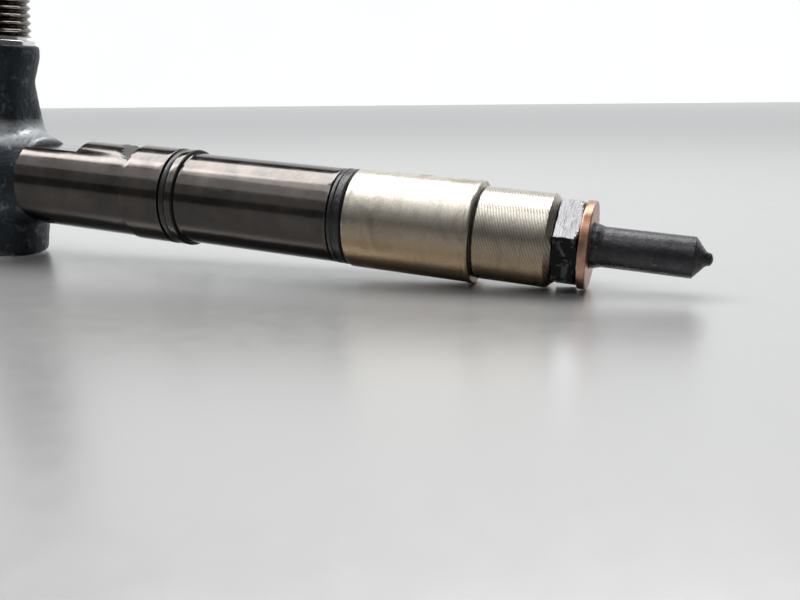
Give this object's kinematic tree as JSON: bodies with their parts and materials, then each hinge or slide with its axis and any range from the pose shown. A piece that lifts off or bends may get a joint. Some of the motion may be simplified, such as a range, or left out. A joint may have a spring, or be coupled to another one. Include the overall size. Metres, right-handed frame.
{
  "type": "fuel injector",
  "caption": "Solenoid common-rail diesel fuel injector: slim turned body with a nozzle and retaining nut, forged head with an inlet arm, leak-off stub and electrical connector.",
  "frame": {"origin": "centre of the sealing washer's face, on the injector's axis", "axes": "+X along the injector's axis towards the nozzle tip, +Z the way the inlet arm points, +Y completes the right-handed set"},
  "size_m": [0.1943, 0.0312, 0.0569],
  "materials": {
    "black_forging": "glossy brown-black phosphated steel, rough on the forged head",
    "satin_steel": "satin turned steel",
    "sooty_steel": "steel blackened by soot",
    "ground_steel": "finely ground hardened steel",
    "spring_steel": "drawn spring wire",
    "zinc_plate": "satin zinc plate",
    "core_iron": "soft magnetic iron",
    "washer_copper": "annealed copper",
    "winding_copper": "enamelled copper wire",
    "bobbin_plastic": "glass-filled nylon",
    "housing_plastic": "black moulded nylon",
    "black_rubber": "oily black rubber",
    "tinned_brass": "tinned"
  },
  "bodies": {
    "injector": {"sealing_washer": "washer_copper", "nozzle_body": "sooty_steel", "distance_piece": "ground_steel", "locating_dowel_1": "ground_steel", "locating_dowel_2": "ground_steel", "nozzle_retaining_nut": "satin_steel", "injector_body": "black_forging", "nut_o_ring": "black_rubber", "band_o_ring": "black_rubber", "inlet_filter": "ground_steel", "spring_shim": "ground_steel", "nozzle_spring": "spring_steel", "orifice_plate": "ground_steel", "armature_guide": "ground_steel", "valve_clamp_ring": "ground_steel", "solenoid_core": "core_iron", "coil_bobbin": "bobbin_plastic", "coil_winding": "winding_copper", "armature_spring_shim": "zinc_plate", "armature_spring": "spring_steel", "solenoid_can": "zinc_plate", "solenoid_o_ring": "black_rubber", "solenoid_retaining_nut": "zinc_plate", "connector_housing": "housing_plastic", "terminal_pin_1": "tinned_brass", "terminal_pin_2": "tinned_brass"},
    "needle_train": {"nozzle_needle": "ground_steel", "pressure_pin": "ground_steel", "command_piston": "ground_steel"},
    "armature_group": {"armature": "core_iron", "valve_ball": "ground_steel"}
  },
  "joints": [
    {"name": "needle_slide", "type": "slide", "parent": "injector", "child": "needle_train", "axis": [-1, 0, 0], "range_m": [0, 0.00025], "stiffness_N_per_m": 15600, "springref_m": -0.002, "deforming": ["nozzle_spring"]},
    {"name": "armature_slide", "type": "slide", "parent": "injector", "child": "armature_group", "axis": [-1, 0, 0], "range_m": [0, 0.00006], "stiffness_N_per_m": 10400, "springref_m": -0.003, "deforming": ["armature_spring"]}
  ]
}
